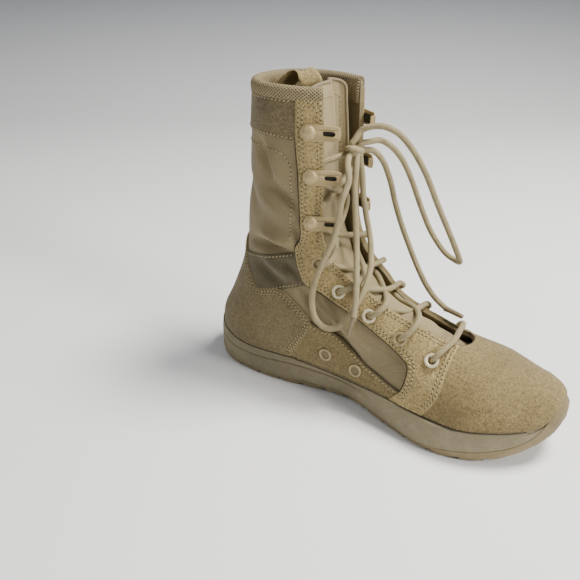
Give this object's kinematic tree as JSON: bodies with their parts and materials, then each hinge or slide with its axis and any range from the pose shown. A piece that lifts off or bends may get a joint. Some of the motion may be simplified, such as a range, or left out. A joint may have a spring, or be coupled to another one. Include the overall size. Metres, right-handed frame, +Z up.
{
  "type": "combat boot",
  "caption": "Left high lace-up boot with a hollow shaft, tongue, insole and lugged sole, laced by eyelets and hooks with a tied bow.",
  "frame": {"origin": "on the floor, under the middle of the bounding box of the boot without its loose lace ends", "axes": "+X towards the toe, +Z up, +Y towards the outer side of the left foot"},
  "size_m": [0.2974, 0.1124, 0.2487],
  "materials": {
    "aglet": "matt plastic",
    "band_nylon": "woven nylon, a shade darker",
    "eyelet_paint": "cream paint",
    "hook_paint": "tan paint, satin",
    "insole_foam": "dark cloth on foam",
    "lace": "braided cord",
    "mesh": "dark spacer mesh",
    "midsole_foam": "matt grey-tan foam",
    "nylon": "woven tan nylon",
    "outsole_rubber": "matt tan-brown rubber",
    "suede": "tan suede, rough side out"
  },
  "bodies": {
    "root": {"aglet_inner": "aglet", "aglet_outer": "aglet", "ankle_band_inner": "band_nylon", "ankle_band_outer": "band_nylon", "collar_band": "suede", "collar_cuff": "mesh", "end_inner": "lace", "end_outer": "lace", "eyelet_inner_1": "eyelet_paint", "eyelet_inner_2": "eyelet_paint", "eyelet_inner_3": "eyelet_paint", "eyelet_inner_4": "eyelet_paint", "eyelet_inner_5": "eyelet_paint", "eyelet_outer_1": "eyelet_paint", "eyelet_outer_2": "eyelet_paint", "eyelet_outer_3": "eyelet_paint", "eyelet_outer_4": "eyelet_paint", "eyelet_outer_5": "eyelet_paint", "eyestay_inner": "suede", "eyestay_outer": "suede", "heel_counter": "suede", "hook_inner_1": "hook_paint", "hook_inner_2": "hook_paint", "hook_inner_3": "hook_paint", "hook_outer_1": "hook_paint", "hook_outer_2": "hook_paint", "hook_outer_3": "hook_paint", "insole": "insole_foam", "knot": "lace", "lace_bar": "lace", "lace_cross_1": "lace", "lace_cross_2": "lace", "lace_cross_3": "lace", "lace_cross_4": "lace", "lace_cross_5": "lace", "lace_top": "lace", "loop_inner": "lace", "loop_outer": "lace", "midsole": "midsole_foam", "outsole": "outsole_rubber", "pull_loop": "suede", "quarter_strip_inner": "suede", "quarter_strip_outer": "suede", "tongue": "nylon", "upper": "nylon", "vamp": "suede", "vent_1": "hook_paint", "vent_2": "hook_paint"}
  },
  "joints": []
}
